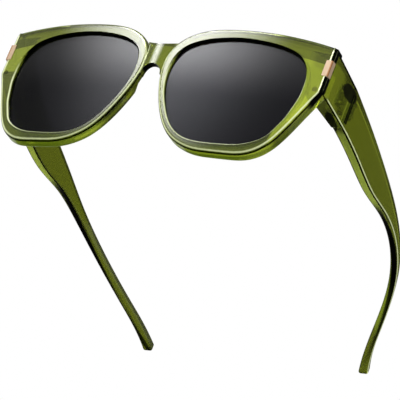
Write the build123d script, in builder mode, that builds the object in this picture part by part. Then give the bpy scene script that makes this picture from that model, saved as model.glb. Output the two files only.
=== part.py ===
"""Fitover sunglasses: an oversized olive frame worn over a pair of spectacles.

Everything is measured from the front datum: the middle of the front face, halfway up the
lenses. The front leans forward a little when the glasses stand on a table on the bottoms of
their rims and the ends of their temples, so all the planes below share that lean.
"""

import os
from math import atan2, degrees

from build123d import *

os.makedirs("parts", exist_ok=True)

# Front: lens sizes and the rims round them (mm)
lens_width = 58.2
lens_height = 49.0
nose_gap = 16.0  # between the two lens openings, at their closest
rim_nasal = 3.8  # rim between the lens opening and the nose
rim_top = 4.7
rim_bottom = 4.1
corner_margin = 7.9  # from the lens opening out to the front corner
face_radius = 430.0  # the front bows round the face
rim_depth = 5.2
nose_relief = 2.0  # the rims are thinner beside the bridge, above the nose step
nose_step_height = -2.0
nose_step_slope = 4.0  # the step climbs over this much height
nose_relief_reach = 12.0
rim_rounding = 1.3
back_rounding = 0.6

# Corner, side wall and seam
corner_drop = 3.5  # the front corner lies this far below the top of the brow
corner_height_share = 0.3512  # of the whole height of the rims
corner_chamfer = 0.7
seam_depth = 25.5  # from the front datum back to the joint with the temple
side_flare = 3.1  # the side wall stands this much wider at the seam than at the corner
side_wall = 5.1
side_drop = 5.3  # the side wall slopes down towards the seam
side_root = 12.0  # how far the wall reaches in behind the rim
side_root_depth = 4.2

# Temple
seam_gap = 0.15
temple_length = 123.0
temple_height = 18.9
temple_fall = 56.0
temple_hook = 22.8  # the ear end curves in by this much
temple_rounding = 0.9

# Bridge
bridge_half_width = 7.0
bridge_bulge_radius = 12.0
bridge_front = -0.6  # its front stands just proud of the rims
bridge_wall = 2.8
bridge_depth = 4.2
bridge_top_share = 0.3253  # above the middle of the rims, of their whole height
bridge_top_rise = 2.0
bridge_arch_share = 0.1609
bridge_arch_radius = 4.4

# Lens in its groove
lens_thickness = 1.8
lens_setback = 1.5
lens_bite = 0.9
lens_clearance = 0.05
opening_chamfer = 0.5

# Corner trim
trim_height = 7.2
trim_drop = 6.3  # from the top of the corner down to the trim
trim_front_reach = 2.3
trim_side_reach = 1.9
trim_thickness = 0.8
trim_proud = 0.25

# Hinge
hinge_height = 9.0
hinge_lift = 1.6  # above the middle of the seam
leaf_length = 6.8
leaf_thickness = 1.0
leaf_corner = 2.2
leaf_proud = 0.5
barrel_radius = 1.5
barrel_sink = 0.4  # the barrel runs this far into its leaf
screw_radius = 0.7
screw_clearance = 0.05
screw_head_radius = 1.2
screw_head_height = 0.5
screw_slot = 0.35
knuckle_count = 5
knuckle_gap = 0.1
sweep_clearance = 0.1
rivet_radius = 0.8
rivet_depth = 2.8
rivet_clearance = 0.03
rivet_head_radius = 1.2
rivet_head_height = 0.4
rivet_reach_share = 1.05
rivet_spread_share = 0.55
rivet_dome_share = 0.8
pocket_clearance = 0.05

overrun = 1.0  # cuts run this far past the faces they open

# Sizes that follow from the ones above
lens_center = nose_gap / 2 + lens_width / 2
corner_x = nose_gap / 2 + lens_width + corner_margin
nasal_x = nose_gap / 2 - rim_nasal
outline_width = corner_x - nasal_x
rim_height = lens_height + rim_top + rim_bottom
rim_top_z = lens_height / 2 + rim_top
rim_bottom_z = -lens_height / 2 - rim_bottom
rim_middle_z = (rim_top_z + rim_bottom_z) / 2
corner_top_z = rim_top_z - corner_drop
bridge_top = rim_middle_z + bridge_top_share * rim_height
bridge_arch = rim_middle_z + bridge_arch_share * rim_height
corner_bottom_z = corner_top_z - corner_height_share * rim_height
corner_depth = corner_x**2 / (2 * face_radius)
seam_x = corner_x + side_flare
seam_top_z = corner_top_z - side_drop
seam_bottom_z = seam_top_z - temple_height
temple_start = seam_depth + seam_gap
tip_depth = temple_start + temple_length
tip_height_share = 0.22
tip_bottom_z = seam_top_z - temple_fall - tip_height_share * temple_height
lean = degrees(atan2(rim_bottom_z - tip_bottom_z, tip_depth - rim_depth))

# Planes of the leaning front: seen from the front, from the side and from above
front_view = Plane.XZ.rotated((lean, 0, 0))
side_view = Plane(origin=(0, 0, 0), x_dir=-front_view.z_dir, z_dir=(1, 0, 0))
plan_view = Plane(origin=(0, 0, 0), x_dir=(1, 0, 0), z_dir=front_view.y_dir)

# The closed curve of a lens, as shares of its width and height from its middle
lens_shares = [
    (0.13, 0.49), (-0.02, 0.50), (-0.21, 0.48), (-0.34, 0.44), (-0.45, 0.36), (-0.50, 0.22),
    (-0.50, 0.07), (-0.47, -0.07), (-0.42, -0.20), (-0.36, -0.32), (-0.28, -0.42),
    (-0.18, -0.48), (-0.05, -0.50), (0.10, -0.495), (0.22, -0.475), (0.31, -0.43),
    (0.38, -0.36), (0.42, -0.27), (0.455, -0.18), (0.475, -0.09), (0.495, 0.01),
    (0.50, 0.13), (0.49, 0.24), (0.455, 0.33), (0.40, 0.40), (0.33, 0.44), (0.26, 0.465),
]
# The front's outline from the nose over the brow to the corner, and from the corner round
# the bottom back to the nose, as shares of the outline's width and height
brow_shares = [
    (0.0, 0.19), (0.03, 0.325), (0.12, 0.427), (0.23, 0.476), (0.34, 0.494), (0.46, 0.50),
    (0.60, 0.499), (0.74, 0.487), (0.88, 0.466),
]
lower_shares = [
    (0.953, -0.036), (0.924, -0.115), (0.895, -0.195), (0.861, -0.281), (0.819, -0.365),
    (0.76, -0.438), (0.675, -0.486), (0.58, -0.498), (0.48, -0.50), (0.39, -0.495),
    (0.30, -0.465), (0.21, -0.401), (0.14, -0.307), (0.085, -0.194), (0.043, -0.075),
    (0.011, 0.053),
]
# Along the temple: share of its length, fall of its top edge, height, outward curve, thickness
temple_shares = [
    (0.0, 0.0, 1.0, 0.0, 1.0),
    (0.14, 0.105, 0.90, 0.074, 0.92),
    (0.29, 0.19, 0.79, 0.074, 0.82),
    (0.43, 0.28, 0.49, 0.058, 0.74),
    (0.57, 0.40, 0.30, 0.0, 0.70),
    (0.71, 0.555, 0.24, -0.198, 0.70),
    (0.86, 0.78, tip_height_share, -0.625, 0.76),
    (0.93, 0.889, tip_height_share, -0.847, 0.79),
    (1.0, 1.0, tip_height_share, -1.0, 0.90),
]


def lens_points(grow):
    """Points round the right lens, with the whole curve grown by this much on each side."""
    width = lens_width + 2 * grow
    height = lens_height + 2 * grow
    return [(lens_center + u * width, v * height) for u, v in lens_shares]


def outline_point(u, v):
    return (nasal_x + u * outline_width, rim_middle_z + v * rim_height)


def shell(front, back):
    """Between two depths behind the bowed front face, seen from above."""
    with Locations((0, face_radius)):
        Circle(face_radius - front)
        Circle(face_radius - back, mode=Mode.SUBTRACT)


# Lens: a closed bowed pane that sits in the groove
with BuildPart() as lens_right:
    with BuildSketch(front_view):
        with BuildLine():
            Spline(*lens_points(lens_bite), periodic=True)
        make_face()
    extrude(amount=rim_height / 2, both=True)
    with BuildSketch(plan_view):
        shell(lens_setback, lens_setback + lens_thickness)
    extrude(amount=rim_height, both=True, mode=Mode.INTERSECT)
lens_right.part.label = "lens_right"

# The opening and its groove, cut from the rim
with BuildPart() as lens_cut:
    with BuildSketch(front_view):
        with BuildLine():
            Spline(*lens_points(lens_bite + lens_clearance), periodic=True)
        make_face()
    extrude(amount=rim_height / 2, both=True)
    with BuildSketch(plan_view):
        shell(lens_setback - lens_clearance, lens_setback + lens_thickness + lens_clearance)
    extrude(amount=rim_height, both=True, mode=Mode.INTERSECT)
    with BuildSketch(front_view):
        with BuildLine():
            Spline(*lens_points(0), periodic=True)
        make_face()
    extrude(amount=rim_height / 2, both=True)

# Half of the front: the rim and the wing that runs out to the corner
with BuildPart() as rim_right:
    with BuildSketch(front_view):
        with BuildLine():
            lower = [outline_point(u, v) for u, v in lower_shares]
            brow = [outline_point(u, v) for u, v in brow_shares]
            corner_top = (corner_x, corner_top_z)
            corner_bottom = (corner_x, corner_bottom_z)
            Spline(corner_bottom, *lower, *brow, corner_top)
            Line(corner_top, corner_bottom)
        make_face()
    extrude(amount=rim_height / 2, both=True)
    with BuildSketch(plan_view):
        shell(0, rim_depth)
    extrude(amount=rim_height, both=True, mode=Mode.INTERSECT)
    bowed_faces = rim_right.faces().filter_by(GeomType.CYLINDER).sort_by(Axis.Y)
    fillet(bowed_faces[0].edges().sort_by(SortBy.LENGTH)[-1], radius=rim_rounding)
    bowed_faces = rim_right.faces().filter_by(GeomType.CYLINDER).sort_by(Axis.Y)
    fillet(bowed_faces[-1].edges().sort_by(SortBy.LENGTH)[-1], radius=back_rounding)

# Side wall: from the corner back to the seam
with BuildPart() as wall_right:
    with BuildSketch(side_view):
        with BuildLine():
            Polyline(
                (0, corner_top_z),
                (corner_depth, corner_top_z),
                (seam_depth, seam_top_z),
                (seam_depth, seam_bottom_z),
                (corner_depth, corner_bottom_z),
                (0, corner_bottom_z),
                close=True,
            )
        make_face()
    extrude(amount=seam_x + overrun)
    with BuildSketch(plan_view):
        with BuildLine():
            wall_root = corner_x - side_root
            Polyline(
                (corner_x, corner_depth),
                (seam_x, seam_depth),
                (seam_x - side_wall, seam_depth),
                (corner_x - side_wall, corner_depth + rim_depth + side_root_depth),
                (wall_root, corner_depth + rim_depth - side_root_depth / 2),
                (wall_root, corner_depth),
                close=True,
            )
        make_face()
    extrude(amount=rim_height, both=True, mode=Mode.INTERSECT)
    upright = Axis((0, 0, 0), plan_view.z_dir)
    outer_face = wall_right.faces().sort_by(Axis.X)[-1]
    fillet(outer_face.edges().filter_by(upright, reverse=True), radius=temple_rounding)

# The bridge bulges forward between the rims, over an arch for the nose
with BuildPart() as bridge:
    with BuildSketch(front_view):
        with BuildLine():
            top_left = (-bridge_half_width, bridge_top + bridge_top_rise)
            top_right = (bridge_half_width, bridge_top + bridge_top_rise)
            arch_foot = bridge_arch - bridge_arch_radius
            arch_left = (-bridge_arch_radius, arch_foot)
            arch_right = (bridge_arch_radius, arch_foot)
            ThreePointArc(top_left, (0, bridge_top), top_right)
            Polyline(top_right, (bridge_half_width, arch_foot), arch_right)
            ThreePointArc(arch_right, (0, bridge_arch), arch_left)
            Polyline(arch_left, (-bridge_half_width, arch_foot), top_left)
        make_face()
    extrude(amount=rim_height, both=True)
    with BuildSketch(plan_view):
        with Locations((0, bridge_front + bridge_bulge_radius)):
            Circle(bridge_bulge_radius)
            Circle(bridge_bulge_radius - bridge_wall, mode=Mode.SUBTRACT)
        with Locations((0, bridge_front)):
            Rectangle(
                2 * bridge_half_width,
                bridge_depth,
                align=(Align.CENTER, Align.MIN),
                mode=Mode.INTERSECT,
            )
    extrude(amount=rim_height, both=True, mode=Mode.INTERSECT)
    split(bisect_by=Plane.YZ, keep=Keep.TOP)

# Corner trim: a bright clip folded round the chamfered corner
ridge_x = corner_x + trim_proud
ridge_depth = corner_depth - trim_proud
trim_top_z = corner_top_z - trim_drop
trim_front_x = corner_x - trim_front_reach
trim_front_depth = trim_front_x**2 / (2 * face_radius)
trim_side_depth = corner_depth + trim_side_reach
trim_side_x = corner_x + side_flare * trim_side_reach / (seam_depth - corner_depth)
trim_outside = [
    (trim_front_x, trim_front_depth - trim_proud),
    (ridge_x, ridge_depth),
    (trim_side_x + trim_proud, trim_side_depth),
]
trim_inside = [
    (trim_side_x + trim_proud - trim_thickness, trim_side_depth),
    (ridge_x - trim_thickness, ridge_depth + trim_thickness),
    (trim_front_x, trim_front_depth - trim_proud + trim_thickness),
]
with BuildPart() as corner_trim_right:
    with BuildSketch(plan_view.offset(trim_top_z - trim_height)):
        with BuildLine():
            Polyline(*trim_outside, *trim_inside, close=True)
        make_face()
    extrude(amount=trim_height)
corner_trim_right.part.label = "corner_trim_right"

# Hinge: five knuckles on an axis at the seam, just inside the wall
inner_x = seam_x - side_wall
leaf_inside_x = inner_x - leaf_proud
leaf_outside_x = leaf_inside_x + leaf_thickness
axis_x = leaf_inside_x + barrel_sink - barrel_radius
hinge_bottom_z = (seam_top_z + seam_bottom_z - hinge_height) / 2 + hinge_lift
knuckle_height = (hinge_height - (knuckle_count - 1) * knuckle_gap) / knuckle_count
knuckle_pitch = knuckle_height + knuckle_gap


def knuckles(first):
    """Planes at the foot of every second knuckle, counted from the first one."""
    feet = range(first, knuckle_count, 2)
    return [plan_view.offset(hinge_bottom_z + n * knuckle_pitch) for n in feet]


def hinge_leaf(first, toward):
    """A plate with its knuckles; toward is -1 for the front's leaf and 1 for the temple's."""
    with BuildPart() as leaf:
        with BuildSketch(plan_view.offset(hinge_bottom_z)):
            with Locations((leaf_inside_x, seam_depth)):
                side = Align.MIN if toward > 0 else Align.MAX
                Rectangle(leaf_thickness, leaf_length, align=(Align.MIN, side))
        extrude(amount=hinge_height)
        far_corners = leaf.edges().filter_by(Axis.X).group_by(Axis((0, 0, 0), plan_view.y_dir))
        fillet(far_corners[-1 if toward > 0 else 0], radius=leaf_corner)
        for foot in knuckles(first):
            with BuildSketch(foot):
                with Locations((axis_x, seam_depth)):
                    Circle(barrel_radius)
            extrude(amount=knuckle_height)
        for foot in knuckles(1 - first):
            with BuildSketch(foot.offset(-knuckle_gap)):
                with Locations((axis_x, seam_depth)):
                    Circle(barrel_radius + sweep_clearance)
            extrude(amount=knuckle_height + 2 * knuckle_gap, mode=Mode.SUBTRACT)
        with BuildSketch(plan_view.offset(hinge_bottom_z - overrun)):
            with Locations((axis_x, seam_depth)):
                Circle(screw_radius + screw_clearance)
        extrude(amount=hinge_height + 2 * overrun, mode=Mode.SUBTRACT)
        with BuildSketch(side_view.offset(leaf_inside_x - overrun)):
            with Locations(*rivet_places(toward)):
                Circle(rivet_radius + rivet_clearance)
        extrude(amount=leaf_thickness + 2 * overrun, mode=Mode.SUBTRACT)
    return leaf.part


def rivet_places(toward):
    """Depth and height of a leaf's two rivets."""
    depth = seam_depth + toward * (barrel_radius + leaf_length) / 2 * rivet_reach_share
    middle_z = hinge_bottom_z + hinge_height / 2
    rise = hinge_height * rivet_spread_share / 2
    return [(depth, middle_z + rise), (depth, middle_z - rise)]


def rivet(toward, index):
    """A pin through the leaf into the plastic, with a low round head inside."""
    with BuildPart() as pin:
        with BuildSketch(side_view.offset(leaf_inside_x)):
            with Locations(rivet_places(toward)[index]):
                Circle(rivet_radius)
        extrude(amount=leaf_thickness + rivet_depth)
        with BuildSketch(side_view.offset(leaf_inside_x)):
            with Locations(rivet_places(toward)[index]):
                Circle(rivet_head_radius)
        extrude(amount=-rivet_head_height)
        fillet(pin.edges().sort_by(Axis.X)[0], radius=rivet_head_height * rivet_dome_share)
    return pin.part


def hinge_pocket(toward):
    """The recess for a leaf and its rivets in the plastic."""
    with BuildPart() as pocket:
        with BuildSketch(plan_view.offset(hinge_bottom_z - pocket_clearance)):
            with Locations((inner_x - overrun, seam_depth - toward * overrun)):
                side = Align.MIN if toward > 0 else Align.MAX
                depth = leaf_outside_x + pocket_clearance - inner_x + overrun
                length = leaf_length + overrun + pocket_clearance
                Rectangle(depth, length, align=(Align.MIN, side))
        extrude(amount=hinge_height + 2 * pocket_clearance)
        with BuildSketch(side_view.offset(inner_x - overrun)):
            with Locations(*rivet_places(toward)):
                Circle(rivet_radius + rivet_clearance)
        extrude(amount=leaf_outside_x - inner_x + overrun + rivet_depth + pocket_clearance)
    return pocket.part


hinge_front_leaf_right = hinge_leaf(0, -1)
hinge_temple_leaf_right = hinge_leaf(1, 1)
hinge_front_leaf_right.label = "hinge_front_leaf_right"
hinge_temple_leaf_right.label = "hinge_temple_leaf_right"

# Hinge screw: slotted head on top of the knuckles
with BuildPart() as hinge_screw_right:
    with BuildSketch(plan_view.offset(hinge_bottom_z)):
        with Locations((axis_x, seam_depth)):
            Circle(screw_radius)
    extrude(amount=hinge_height)
    with BuildSketch(plan_view.offset(hinge_bottom_z + hinge_height)):
        with Locations((axis_x, seam_depth)):
            Circle(screw_head_radius)
    extrude(amount=screw_head_height)
    with BuildSketch(plan_view.offset(hinge_bottom_z + hinge_height + screw_head_height)):
        with Locations((axis_x, seam_depth)):
            Rectangle(2 * screw_head_radius + overrun, screw_slot)
    extrude(amount=-screw_head_height / 2, mode=Mode.SUBTRACT)
hinge_screw_right.part.label = "hinge_screw_right"

# Front frame: both rims, the bridge and the side walls moulded as one
with BuildPart() as corner_cut:
    with BuildSketch(plan_view.offset(rim_bottom_z)):
        with Locations((corner_x, corner_depth)):
            Rectangle(2 * corner_chamfer, 2 * corner_chamfer, rotation=45)
    extrude(amount=rim_height)

with BuildPart() as trim_seat:
    with BuildSketch(plan_view.offset(trim_top_z - trim_height)):
        with BuildLine():
            Polyline(
                *trim_inside,
                (trim_front_x, -overrun),
                (ridge_x + overrun, -overrun),
                (ridge_x + overrun, trim_side_depth),
                close=True,
            )
        make_face()
    extrude(amount=trim_height)

with BuildPart() as front_frame:
    add(rim_right.part)
    with BuildSketch(side_view):
        with BuildLine():
            thin_depth = rim_depth - nose_relief
            ramp_top_z = nose_step_height + nose_step_slope
            Polyline(
                (rim_depth + overrun, nose_step_height - nose_step_slope * overrun / nose_relief),
                (thin_depth, ramp_top_z),
                (thin_depth, rim_height),
                (rim_depth + overrun, rim_height),
                close=True,
            )
        make_face()
    extrude(amount=nose_relief_reach, mode=Mode.SUBTRACT)
    add(wall_right.part)
    add(corner_cut.part, mode=Mode.SUBTRACT)
    add(trim_seat.part, mode=Mode.SUBTRACT)
    add(lens_cut.part, mode=Mode.SUBTRACT)
    bowed_faces = front_frame.faces().filter_by(GeomType.CYLINDER).sort_by(SortBy.AREA)[-2:]
    opening_edge = bowed_faces.sort_by(Axis.Y)[0].inner_wires()[0].edges()
    chamfer(opening_edge, length=opening_chamfer)
    add(hinge_pocket(-1), mode=Mode.SUBTRACT)
    add(bridge.part)
    mirror(about=Plane.YZ)
front_frame.part.label = "front_frame"


def along_temple(column, start, scale):
    """Points of one column of the temple's table against depth."""
    rows = [(row[0], row[column]) for row in temple_shares]
    return [(temple_start + s * temple_length, start + value * scale) for s, value in rows]


# Temple: drawn from the side and from above, and kept where the two drawings meet
with BuildPart() as temple_right:
    with BuildSketch(side_view):
        with BuildLine():
            top = along_temple(1, seam_top_z, -temple_fall)
            heights = along_temple(2, 0, temple_height)
            bottom = [(d, z - h[1]) for (d, z), h in zip(top, heights)]
            Spline(*top)
            Line(top[-1], bottom[-1])
            Spline(*reversed(bottom))
            Line(bottom[0], top[0])
        make_face()
    extrude(amount=seam_x + 2 * overrun)
    with BuildSketch(plan_view):
        with BuildLine():
            curve = along_temple(3, seam_x, temple_hook)
            walls = along_temple(4, 0, side_wall)
            outer = [(x, d) for d, x in curve]
            inner = [(x - wall[1], d) for (x, d), wall in zip(outer, walls)]
            Spline(*outer)
            Line(outer[-1], inner[-1])
            Spline(*reversed(inner))
            Line(inner[0], outer[0])
        make_face()
    extrude(amount=rim_height + temple_fall, both=True, mode=Mode.INTERSECT)
    long_edges = temple_right.edges().filter_by(lambda edge: edge.length > temple_length / 2)
    tip_face = temple_right.faces().sort_by(Axis((0, 0, 0), side_view.x_dir))[-1]
    fillet([*long_edges, *tip_face.edges()], radius=temple_rounding)
    add(hinge_pocket(1), mode=Mode.SUBTRACT)
temple_right.part.label = "temple_right"

# Each leaf is held by two rivets
rivets_right = {}
for body, toward in (("front", -1), ("temple", 1)):
    for index, place in enumerate(("upper", "lower")):
        name = f"hinge_{body}_rivet_{place}_right"
        rivets_right[name] = rivet(toward, index)

# Every paired piece has its mirror image on the left
right_pieces = {
    "lens_right": lens_right.part,
    "temple_right": temple_right.part,
    "corner_trim_right": corner_trim_right.part,
    "hinge_front_leaf_right": hinge_front_leaf_right,
    "hinge_temple_leaf_right": hinge_temple_leaf_right,
    "hinge_screw_right": hinge_screw_right.part,
    **rivets_right,
}
pieces = {"front_frame": front_frame.part}
for name, piece in right_pieces.items():
    pieces[name] = piece
    pieces[name.replace("_right", "_left")] = mirror(piece, about=Plane.YZ)

# The glasses stand on the table with the middle of their outline over the origin
outline = Compound(list(pieces.values())).bounding_box()
stand = Location((0, -outline.center().Y, -outline.min.Z))
for name, piece in pieces.items():
    standing = piece.moved(stand)
    standing.label = name
    export_step(standing, f"parts/{name}.step")

hinge_axis = (stand * Location(plan_view.from_local_coords(Vector(axis_x, seam_depth, 0)))).position
print("outline", outline.size)
print("lean", round(lean, 3), "hinge axis at", hinge_axis, "along", plan_view.z_dir)
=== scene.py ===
"""Fitover sunglasses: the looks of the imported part, in metres and in the CAD's own frame."""

import math
import bpy
from mathutils import Matrix, Vector


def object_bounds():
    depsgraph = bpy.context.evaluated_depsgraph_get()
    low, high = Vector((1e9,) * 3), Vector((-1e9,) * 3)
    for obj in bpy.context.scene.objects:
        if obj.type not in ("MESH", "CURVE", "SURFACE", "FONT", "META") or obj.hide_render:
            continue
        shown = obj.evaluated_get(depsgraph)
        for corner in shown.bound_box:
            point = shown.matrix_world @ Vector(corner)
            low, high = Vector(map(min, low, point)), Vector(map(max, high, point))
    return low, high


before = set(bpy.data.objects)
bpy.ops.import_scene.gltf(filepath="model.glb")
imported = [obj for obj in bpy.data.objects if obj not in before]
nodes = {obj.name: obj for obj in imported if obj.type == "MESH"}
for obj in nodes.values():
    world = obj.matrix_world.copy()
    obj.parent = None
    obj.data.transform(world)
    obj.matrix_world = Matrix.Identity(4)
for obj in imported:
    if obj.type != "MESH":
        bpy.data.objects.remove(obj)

cad_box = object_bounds()
scene = bpy.context.scene


# Studio
# The photograph looks up at the glasses from below and a little to the right of their front.
# The table is one-sided, so a camera under it sees the glasses against plain white.
camera_place = Vector((0.5996, -0.8472, -0.5901))
camera_right = Vector((0.86354, 0.35729, 0.35586))
camera_up = Vector((-0.06657, -0.61875, 0.78276))
focal_length, sensor_width = 264.6, 36.0
nearest_seen, farthest_seen = 0.05, 50.0

camera_turn = Matrix((camera_right, camera_up, camera_right.cross(camera_up))).transposed()
camera_data = bpy.data.cameras.new("camera")
camera_data.lens = focal_length
camera_data.sensor_width = sensor_width
camera_data.clip_start = nearest_seen
camera_data.clip_end = farthest_seen
camera = bpy.data.objects.new("camera", camera_data)
camera.matrix_world = Matrix.Translation(camera_place) @ camera_turn.to_4x4()
scene.collection.objects.link(camera)
scene.camera = camera
scene.view_settings.view_transform = "Standard"


class Value:
    """A shader socket that takes part in plain arithmetic."""

    def __init__(self, tree, socket):
        self.tree, self.socket = tree, socket

    def maths(self, operation, *others):
        node = self.tree.nodes.new("ShaderNodeMath")
        node.operation = operation
        for place, other in zip(node.inputs, (self, *others)):
            if isinstance(other, Value):
                self.tree.links.new(other.socket, place)
            else:
                place.default_value = other
        return Value(self.tree, node.outputs[0])

    def __add__(self, other):
        return self.maths("ADD", other)

    def __sub__(self, other):
        return self.maths("SUBTRACT", other)

    def __rsub__(self, other):
        return (self * -1.0) + other

    def __mul__(self, other):
        return self.maths("MULTIPLY", other)

    def __truediv__(self, other):
        return self.maths("DIVIDE", other)

    __radd__, __rmul__ = __add__, __mul__

    def __abs__(self):
        return self.maths("ABSOLUTE")

    def squared(self):
        return self.maths("POWER", 2.0)

    def capped(self):
        """The value, or 1 where it is more."""
        return self.maths("MINIMUM", 1.0)

    def between(self, start, end):
        """0 at start, 1 at end, smooth on the way; end may be the lower of the two."""
        node = self.tree.nodes.new("ShaderNodeMapRange")
        node.interpolation_type = "SMOOTHSTEP"
        self.tree.links.new(self.socket, node.inputs["Value"])
        node.inputs["From Min"].default_value = start
        node.inputs["From Max"].default_value = end
        return Value(self.tree, node.outputs["Result"])

    def band(self, low, high, soft):
        """1 between low and high and 0 outside, passing a half at each over a soft margin."""
        return self.between(low - soft, low + soft) * self.between(high + soft, high - soft)


class Shader:
    """A node tree. A socket is given by its name, with _ for a space, or by its number, as in _0."""

    def __init__(self, tree):
        self.tree = tree
        tree.nodes.clear()

    def add(self, kind, settings=None, **sockets):
        node = self.tree.nodes.new(kind)
        for name, setting in (settings or {}).items():
            setattr(node, name, setting)
        for name, value in sockets.items():
            place = node.inputs[int(name[1:]) if name[0] == "_" else name.replace("_", " ")]
            if isinstance(value, Value):
                self.tree.links.new(value.socket, place)
            elif isinstance(value, bpy.types.NodeSocket):
                self.tree.links.new(value, place)
            else:
                place.default_value = value
        return node

    def value(self, node, output):
        return Value(self.tree, node.outputs[output])

    def blend(self, share, first, second):
        """The first colour, with a share of the second over it."""
        mixed = self.add("ShaderNodeMix", {"data_type": "RGBA"}, _0=share, _6=first, _7=second)
        return mixed.outputs[2]


def material(name):
    made = bpy.data.materials.new(name)
    made.use_nodes = True
    return made, Shader(made.node_tree)


# Daylight from all round. Gloss sees it dimmer, with a dark curtain behind and the dark ground below.
white = (1, 1, 1, 1)
daylight, curtain_dark, gloss_dim = 0.75, 0.9, 0.5
curtain_way, curtain_edge, ground_edge = (0.35, 0.80, 0.49), (0.78, 0.90), (0.0, -0.15)

world = bpy.data.worlds.new("studio")
world.use_nodes = True
scene.world = world
sky = Shader(world.node_tree)
ray = sky.add("ShaderNodeLightPath")
by_gloss = sky.value(ray, "Is Glossy Ray")
seen = (sky.value(ray, "Is Camera Ray") + by_gloss + sky.value(ray, "Is Transmission Ray")).capped()
way = sky.add("ShaderNodeTexCoord").outputs["Generated"]
upward = sky.value(sky.add("ShaderNodeSeparateXYZ", Vector=way), "Z")
along = sky.add("ShaderNodeVectorMath", {"operation": "DOT_PRODUCT"}, _0=way, _1=curtain_way)
curtain = sky.value(along, "Value").between(*curtain_edge)
curtain = curtain.maths("MAXIMUM", upward.between(*ground_edge)) * by_gloss
seen_level = (1 - curtain * curtain_dark) * (1 - by_gloss * gloss_dim)
lighting = sky.add("ShaderNodeBackground", Color=white, Strength=daylight)
backdrop = sky.add("ShaderNodeBackground", Color=white, Strength=seen_level)
both = sky.add("ShaderNodeMixShader", _0=seen, _1=lighting.outputs[0], _2=backdrop.outputs[0])
sky.add("ShaderNodeOutputWorld", Surface=both.outputs[0])

# The table is pale to the eye and dark in gloss, and nothing shows of it from below.
table_half = 3.0
table_tone, table_in_gloss = (0.9, 0.9, 0.9, 1), (0.12, 0.12, 0.12, 1)

table_mesh = bpy.data.meshes.new("table")
table_corners = [(u * table_half, v * table_half, 0) for u, v in ((-1, -1), (1, -1), (1, 1), (-1, 1))]
table_mesh.from_pydata(table_corners, [], [(0, 1, 2, 3)])
table = bpy.data.objects.new("table", table_mesh)
scene.collection.objects.link(table)
pale_table, mix = material("pale_table")
from_below = mix.value(mix.add("ShaderNodeNewGeometry"), "Backfacing")
by_gloss = mix.value(mix.add("ShaderNodeLightPath"), "Is Glossy Ray")
solid = mix.add("ShaderNodeBsdfDiffuse", Color=mix.blend(by_gloss, table_tone, table_in_gloss))
clear = mix.add("ShaderNodeBsdfTransparent", Color=white)
both = mix.add("ShaderNodeMixShader", _0=from_below, _1=solid.outputs[0], _2=clear.outputs[0])
mix.add("ShaderNodeOutputMaterial", Surface=both.outputs[0])
table_mesh.materials.append(pale_table)


def soft_box(name, shape, place, aim, width, power):
    data = bpy.data.lights.new(name, "AREA")
    data.shape = shape
    data.size = width
    data.energy = power
    lamp = bpy.data.objects.new(name, data)
    lamp.location = place
    lamp.rotation_mode = "QUATERNION"
    lamp.rotation_quaternion = (Vector(aim) - Vector(place)).to_track_quat("-Z", "Y")
    scene.collection.objects.link(lamp)
    return lamp


key_place, key_width, key_power = (-0.5, -0.9, 1.2), 0.8, 12
soft_box("key", "SQUARE", key_place, (cad_box[0] + cad_box[1]) / 2, key_width, key_power)

# A round lamp that only gloss sees, fading to its rim: its sheen lies on the brow and upper lenses.
sheen_place, sheen_aim = (-0.26, -0.46, 0.385), (0.0, -0.074, 0.035)
sheen_width, sheen_power = 0.44, 13.5
lamp_middle, lamp_fade = (0.5, 0.5, 0.0), (0.5, 0.0)

sheen_lamp = soft_box("sheen", "DISK", sheen_place, sheen_aim, sheen_width, sheen_power)
sheen_lamp.visible_diffuse = False
sheen_lamp.visible_transmission = False
sheen_lamp.visible_camera = False
sheen_lamp.data.use_nodes = True
glow = Shader(sheen_lamp.data.node_tree)
spot = glow.add("ShaderNodeNewGeometry").outputs["Parametric"]
off_middle = glow.add("ShaderNodeVectorMath", {"operation": "DISTANCE"}, _0=spot, _1=lamp_middle)
fall = glow.value(off_middle, "Value").between(*lamp_fade)
glow.add("ShaderNodeOutputLight", Surface=glow.add("ShaderNodeEmission", Strength=fall).outputs[0])


# Front frame and temples
# The front, in one with its side walls, and the two temples are moulded in clear olive plastic
# and polished; the walls and temples are a darker olive. On it lie painted highlights and painted
# shade lines along the polished edges, painted shade and painted light by place, and a painted
# glow. These are placed here by depth, height and the way a face looks.
front_lean = math.radians(4.448)
lean_sine, lean_cosine = math.sin(front_lean), math.cos(front_lean)
front_face_y = -0.07454
lens_middle_x, lens_middle_z = 0.0371, 0.0283


def on_piece(mix):
    return mix.add("ShaderNodeTexCoord").outputs["Object"]


def placed(mix):
    """Place across, depth behind the leaning front's face, and height over the lens middle."""
    split = mix.add("ShaderNodeSeparateXYZ", Vector=on_piece(mix))
    back, rise = mix.value(split, "Y") - front_face_y, mix.value(split, "Z") - lens_middle_z
    depth = back * lean_cosine + rise * lean_sine
    height = rise * lean_cosine - back * lean_sine
    return mix.value(split, "X"), depth, height


def noise(mix, scale, detail):
    """Random values that change smoothly over the piece."""
    return mix.value(mix.add("ShaderNodeTexNoise", Vector=on_piece(mix), Scale=scale, Detail=detail), "Fac")


def oval(across, along, middle, half):
    """1 inside an oval and 0 outside it, over a soft rim."""
    oval_rim = (1.3, 0.8)
    spread = ((across - middle[0]) / half[0]).squared() + ((along - middle[1]) / half[1]).squared()
    return spread.between(*oval_rim)


olive, mix = material("olive_plastic")
x, depth, height = placed(mix)
left_start = (0.0, -0.01)
on_left = x.between(*left_start)
outward = abs(x)
facing = mix.add("ShaderNodeSeparateXYZ", Vector=mix.add("ShaderNodeTexCoord").outputs["Normal"])
facing_x, facing_y, facing_z = (mix.value(facing, axis) for axis in "XYZ")
faces_out = facing_x * x.maths("SIGN")
faces_front = (facing_y * lean_cosine + facing_z * lean_sine) * -1.0
faces_up = facing_z * lean_cosine - facing_y * lean_sine

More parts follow.
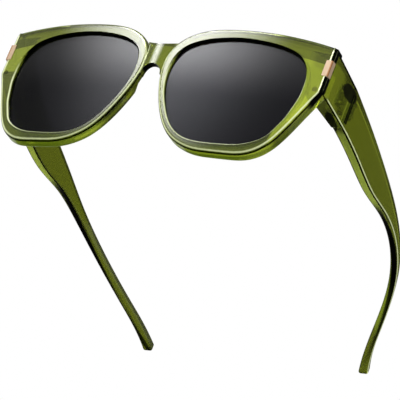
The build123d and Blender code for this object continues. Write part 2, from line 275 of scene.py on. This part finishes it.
# A pair of values says where a fade starts and ends. A third is the soft margin of a band.
# The rim's rounded outer edge and the lens opening's edge face opposite ways from the lens middle.
rim_end, edge_start = (0.0105, 0.0125), (0.002, 0.006)
behind_rim = depth.between(*rim_end)
on_rim = 1 - behind_rim
from_lens = (outward - lens_middle_x) * faces_out + height * faces_up
outer = on_rim * from_lens.between(*edge_start)
opening = on_rim * (from_lens * -1.0).between(*edge_start)

# The front corner ends in a side face, which carries none of the rim's painted lines.
corner_start, side_turn = (0.0700, 0.0715), (0.5, 0.7)
on_corner = outward.between(*corner_start)
corner_side = on_corner * faces_out.between(*side_turn)

# Painted lines along the outer edge: a painted highlight low down, a painted shade line
# behind it, and a painted shade line on the brow's outer half.
low_turn, shine_turn = (0.35, 0.0), (0.74, 0.96, 0.03)
edge_shine = outer * faces_up.between(*low_turn) * faces_front.band(*shine_turn)
line_turn = (0.10, 0.50, 0.05)
edge_shade_line = outer * faces_front.band(*line_turn) * (1 - corner_side)
brow_turn, brow_reach = (0.03, 0.12), (0.044, 0.054)
brow_shade_line = outer * faces_up.between(*brow_turn) * outward.between(*brow_reach)

# A darker band of painted shade along the top of the brow, whose lower edge falls towards the corner.
flat_turn, band_reach, band_fall, band_edge = (0.85, 0.95), (0.040, 0.052), 0.135, (0.0322, 0.0330)
brow_shade_band = faces_front.between(*flat_turn) * outward.between(*band_reach)
brow_shade_band = brow_shade_band * (height + outward * band_fall).between(*band_edge)

# The flat underside of the front is painted lighter, with a painted glow: painted light.
under_turn, back_turn, under_end = (-0.5, -0.7), (0.10, 0.06), (0.030, 0.024)
under_face = faces_up.between(*under_turn)
below = under_face * faces_front.between(*back_turn) * depth.between(*under_end)

# The lens opening's edge carries a painted highlight where it looks up and painted shade where
# it looks down. Painted shade also lies under the bridge's arch.
lit_turn, lit_strip = (-0.2, 0.1), (0.55, 0.85, 0.05)
opening_shine = opening * faces_up.between(*lit_turn) * faces_front.band(*lit_strip)
shadow_turn, shadow_strip = (-0.15, -0.4), (0.9, 0.8)
opening_shadow = opening * faces_up.between(*shadow_turn) * faces_front.between(*shadow_strip)
arch_reach, arch_turn, arch_rise = (0.0062, 0.0052), (-0.2, -0.5), (0.0035, 0.0045)
arch_shadow = outward.between(*arch_reach) * faces_up.between(*arch_turn) * height.between(*arch_rise)

# The corner's edge with a painted shade line and a thin painted highlight before it, and a
# painted shade line along the top edge of the wall behind.
corner_turn, corner_strip = (0.5, 0.6), (0.0056, 0.0088, 0.0002)
corner_shade_edge = on_corner * faces_out.between(*corner_turn) * depth.band(*corner_strip)
glint_strip, glint_turn = (0.0727, 0.0736, 0.0001), (0.85, 0.93)
corner_shine = outward.band(*glint_strip) * faces_front.between(*glint_turn)
wall_strip, wall_fall, wall_top = (0.0060, 0.0256, 0.0003), 0.277, (0.0256, 0.0262)
wall_shade_line = on_corner * depth.band(*wall_strip) * (height + depth * wall_fall).between(*wall_top)

# The seam between wall and temple carries a painted shade line. Painted shade in an oval stands
# for the hinge seen through the wall, from outside and from below, and a painted dark dot of
# shade lies at the lower end of the front corner.
wall_start, wall_turn = (0.0735, 0.0740), (0.5, 0.8)
on_wall = outward.between(*wall_start) * faces_out.between(*wall_turn)
seam_strip, seam_rise = (0.0247, 0.0265, 0.0001), (0.0035, 0.0170, 0.0003)
seam = on_wall * depth.band(*seam_strip) * height.band(*seam_rise)
hinge_spot, hinge_half = (0.0224, 0.0155), (0.0050, 0.0032)
hinge_shade = oval(depth, height, hinge_spot, hinge_half) * on_wall
barrel_spot, barrel_half = (0.0225, 0.0730), (0.0050, 0.0020)
barrel_shade = oval(depth, outward, barrel_spot, barrel_half) * under_face
dot_spot, dot_half, dot_turn = (0.0712, 0.0056), (0.0011, 0.0011), (0.8, 0.9)
corner_shade_dot = oval(outward, height, dot_spot, dot_half) * faces_front.between(*dot_turn) * on_rim
shades = (hinge_shade + barrel_shade + corner_shade_dot).capped()

# Painted lines along the walls and temples: a painted highlight where the outer face turns under,
# and painted shade lines along the under and top edges.
side_start = (0.0200, 0.0300)
on_side = behind_rim * outward.between(*side_start)
outer_turn, shine_strip = (0.0, 0.15), (-0.62, -0.22, 0.05)
under_shine = on_side * faces_out.between(*outer_turn) * faces_up.band(*shine_strip)
line_strip, line_end = (-0.955, -0.72, 0.02), (0.085, 0.065)
under_shade_line = on_side * faces_up.band(*line_strip) * depth.between(*line_end)
top_strip = (0.45, 0.955, 0.03)
top_shade_line = on_side * faces_up.band(*top_strip)

# A dark stripe of painted shade under each thin ear end follows its inward bend. The right one
bend_start, bend_length, bend_reach = 0.0872, 0.123, 0.1026
ear_outer_x, ear_half, ear_stripe = 0.0780, 0.0022, (0.0016, 0.0009)
stripe_start, stripe_end, stripe_turn = (0.066, 0.080), (0.150, 0.128), (-0.6, -0.9)
bend = ((depth - bend_start) / bend_length).maths("MAXIMUM", 0.0)
off_stripe = abs(outward - (ear_outer_x - bend * bend * bend_reach) + ear_half)
ear_shade_stripe = depth.between(*stripe_start) * (depth.between(*stripe_end) + on_left).capped()
ear_shade_stripe = ear_shade_stripe * faces_up.between(*stripe_turn) * off_stripe.between(*ear_stripe)

# Under the walls and the near part of the temples the colour is painted lighter, with a painted
# glow: painted light.
under_lit_start, under_lit_turn = (0.0650, 0.0670), (-0.955, -0.985)
under_lit_from, under_lit_to = (0.026, 0.030), (0.078, 0.066)
under_painted_light = outward.between(*under_lit_start) * on_side * faces_up.between(*under_lit_turn)
under_painted_light = under_painted_light * depth.between(*under_lit_to) * depth.between(*under_lit_from)

# The front's outer corner is painted lightest, with a painted glow: painted light. It lies below
# the line of the trim, and on the left down to a line.
corner_reach, corner_fall, corner_line = (0.0600, 0.0612), 0.17, (0.0298, 0.0294)
front_turn, left_line = (0.3, 0.6), (0.0062, 0.0058)
corner_painted_light = outward.between(*corner_reach) * (height + outward * corner_fall).between(*corner_line)
corner_painted_light = corner_painted_light * faces_front.between(*front_turn)
corner_painted_light = corner_painted_light * (1 - on_left * height.between(*left_line))

# Painted highlights, and painted shade lines, each gathered into one share.
highlights = (edge_shine + opening_shine + corner_shine + under_shine).capped()
front_shade_lines = edge_shade_line + opening_shadow + arch_shadow + corner_shade_edge
side_shade_lines = wall_shade_line + seam + under_shade_line + top_shade_line + ear_shade_stripe
shade_lines = (front_shade_lines + side_shade_lines).capped()

# Colours of the plastic, with its painted light, highlights and shade, laid over each other by place.
front_olive, low_shade_olive, low_shade_rise = (0.34, 0.41, 0.035, 1), (0.20, 0.25, 0.02, 1), (-0.002, -0.012)
band_shade_olive, band_share = (0.10, 0.12, 0.01, 1), 0.45
corner_lit_olive = (0.80, 0.92, 0.07, 1)
wall_olive, wall_depth = (0.24, 0.29, 0.018, 1), (0.0150, 0.0180)
under_lit_olive = (0.80, 0.90, 0.16, 1)
highlight_colour = (0.84, 0.88, 0.58, 1)
below_lit_olive = (0.50, 0.58, 0.06, 1)
brow_shade_colour = (0.07, 0.09, 0.01, 1)
shade_line_colour, shades_share = (0.004, 0.005, 0.002, 1), 0.9

# Painted shade: the front is darker towards its lower part.
colour = mix.blend(height.between(*low_shade_rise), front_olive, low_shade_olive)
colour = mix.blend(brow_shade_band * band_share, colour, band_shade_olive)
colour = mix.blend(corner_painted_light, colour, corner_lit_olive)
colour = mix.blend(depth.between(*wall_depth), colour, wall_olive)
colour = mix.blend(under_painted_light, colour, under_lit_olive)
colour = mix.blend(highlights, colour, highlight_colour)
colour = mix.blend(below, colour, below_lit_olive)
colour = mix.blend(brow_shade_line, colour, brow_shade_colour)
colour = mix.blend((shade_lines + shades * shades_share).capped(), colour, shade_line_colour)

# Faint streaks from the moulding, and a grain too fine to see as such.
streak_scale, streak_detail, streak_low, streak_rise = 60.0, 2.0, 0.94, 0.12
grain_scale, grain_detail, grain_strength, grain_depth = 900.0, 3.0, 0.02, 0.0001
streaks = noise(mix, streak_scale, streak_detail)
shade = streaks * streak_rise + streak_low
grey = mix.add("ShaderNodeCombineColor", Red=shade, Green=shade, Blue=shade)
streaked = {"data_type": "RGBA", "blend_type": "MULTIPLY"}
tone = mix.add("ShaderNodeMix", streaked, _0=1.0, _6=colour, _7=grey.outputs[0])
grain = noise(mix, grain_scale, grain_detail)
bump = mix.add("ShaderNodeBump", Strength=grain_strength, Distance=grain_depth, Height=grain)

# A painted glow stands in for light that runs along inside the clear plastic and leaves it at
# the polished edges: on the painted highlights and the places of painted light.
no_glow, highlight_glow, light_glow = (0.0, 0.0, 0.0, 1), (0.34, 0.38, 0.20, 1), (0.09, 0.13, 0.01, 1)
glow_share, glow_strength = 0.5, 1.0
glow_places = (under_painted_light + corner_painted_light * glow_share + below * glow_share).capped()
glow_places = glow_places * (1 - shade_lines) * (1 - highlights) * (1 - shades)
edge_glow = mix.blend(glow_places, mix.blend(highlights, no_glow, highlight_glow), light_glow)

# Where a painted highlight, a painted shade line or painted shade lies, the surface is metallic,
# so less light goes through.
highlight_cover, brow_cover, shade_cover = 0.75, 0.8, 0.85
polish, streak_rough, cover_rough, brow_rough = 0.02, 0.04, 0.3, 0.5
glass_index, clearness = 1.49, 0.8
through_colour, through_density = (0.60, 0.60, 0.0, 1), 150.0
cover = (highlights * highlight_cover + shade_lines + brow_shade_line * brow_cover + shades * shade_cover).capped()
body = mix.add(
    "ShaderNodeBsdfPrincipled",
    Base_Color=tone.outputs[2],
    Roughness=streaks * streak_rough + polish + cover * cover_rough + brow_shade_line * brow_rough,
    Metallic=cover,
    IOR=glass_index,
    Transmission_Weight=clearness,
    Emission_Color=edge_glow,
    Emission_Strength=glow_strength,
    Normal=bump.outputs[0],
)
inside = mix.add("ShaderNodeVolumeAbsorption", Color=through_colour, Density=through_density)
mix.add("ShaderNodeOutputMaterial", Surface=body.outputs[0], Volume=inside.outputs[0])


def dress(names, finish):
    """Gives these pieces one material."""
    for name in names:
        nodes[name].data.materials.clear()
        nodes[name].data.materials.append(finish)


dress(("front_frame", "temple_right", "temple_left"), olive)


# Lenses
# Two bowed panes of dark smoke plastic, snapped into the grooves of the rims. They are nearly
# opaque, and their soft gloss is strongest at the top.
lens_tone, lens_tint = (0.010, 0.010, 0.012, 1), (0.86, 0.88, 1.0, 1)
haze_scale, haze_detail, lens_rough, haze_rough = 25.0, 1.0, 0.17, 0.02
lens_index, lens_clearness = 1.18, 1.0
coat_rise, coat_share, coat_rough = (-0.004, 0.020), 0.29, 0.2
smoke_colour, smoke_density = (0.02, 0.02, 0.0, 1), 60.0

smoke, mix = material("smoke_lens")
height = placed(mix)[-1]
haze = noise(mix, haze_scale, haze_detail)
body = mix.add(
    "ShaderNodeBsdfPrincipled",
    Base_Color=lens_tone,
    Roughness=haze * haze_rough + lens_rough,
    IOR=lens_index,
    Transmission_Weight=lens_clearness,
    Specular_Tint=lens_tint,
    Coat_Weight=height.between(*coat_rise) * coat_share,
    Coat_Roughness=coat_rough,
)
inside = mix.add("ShaderNodeVolumeAbsorption", Color=smoke_colour, Density=smoke_density)
mix.add("ShaderNodeOutputMaterial", Surface=body.outputs[0], Volume=inside.outputs[0])
dress(("lens_right", "lens_left"), smoke)


# Corner trims
# A thin plate of pale gold, bent round each upper corner and pressed into the frame. A darker line
# of painted shade runs along its bend.
gold_tone, bend_shade_tone = (0.60, 0.43, 0.28, 1), (0.36, 0.16, 0.05, 1)
bend_offset, bend_line, bend_front = 0.06825, (0.00055, 0.00035), (0.0074, 0.0068)
brush_scale, brush_detail, brush_strength, brush_depth = 700.0, 2.0, 0.1, 0.0001
gold_rough, brush_rough, gold_metal = 0.2, 0.1, 0.35

gold, mix = material("gold_trim")
x, depth = placed(mix)[:-1]
off_bend = abs(depth + bend_offset - abs(x))
bend_shade = off_bend.between(*bend_line) * depth.between(*bend_front)
brushed = noise(mix, brush_scale, brush_detail)
bump = mix.add("ShaderNodeBump", Strength=brush_strength, Distance=brush_depth, Height=brushed)
body = mix.add(
    "ShaderNodeBsdfPrincipled",
    Base_Color=mix.blend(bend_shade, gold_tone, bend_shade_tone),
    Roughness=brushed * brush_rough + gold_rough,
    Metallic=gold_metal,
    Normal=bump.outputs[0],
)
mix.add("ShaderNodeOutputMaterial", Surface=body.outputs[0])
dress(("corner_trim_right", "corner_trim_left"), gold)


# Hinges
# Each hinge is two leaves of dark plated metal with five knuckles between them. They turn on one
# screw and are riveted to the plastic.
plate_tone, worn_tone = (0.008, 0.008, 0.008, 1), (0.020, 0.019, 0.018, 1)
plate_scale, plate_detail, plate_rough, worn_rough = 900.0, 3.0, 0.3, 0.2

dark_metal, mix = material("hinge_metal")
plating = noise(mix, plate_scale, plate_detail)
body = mix.add(
    "ShaderNodeBsdfPrincipled",
    Base_Color=mix.blend(plating, plate_tone, worn_tone),
    Roughness=plating * worn_rough + plate_rough,
    Metallic=1.0,
)
mix.add("ShaderNodeOutputMaterial", Surface=body.outputs[0])
dress((name for name in nodes if name.startswith("hinge")), dark_metal)
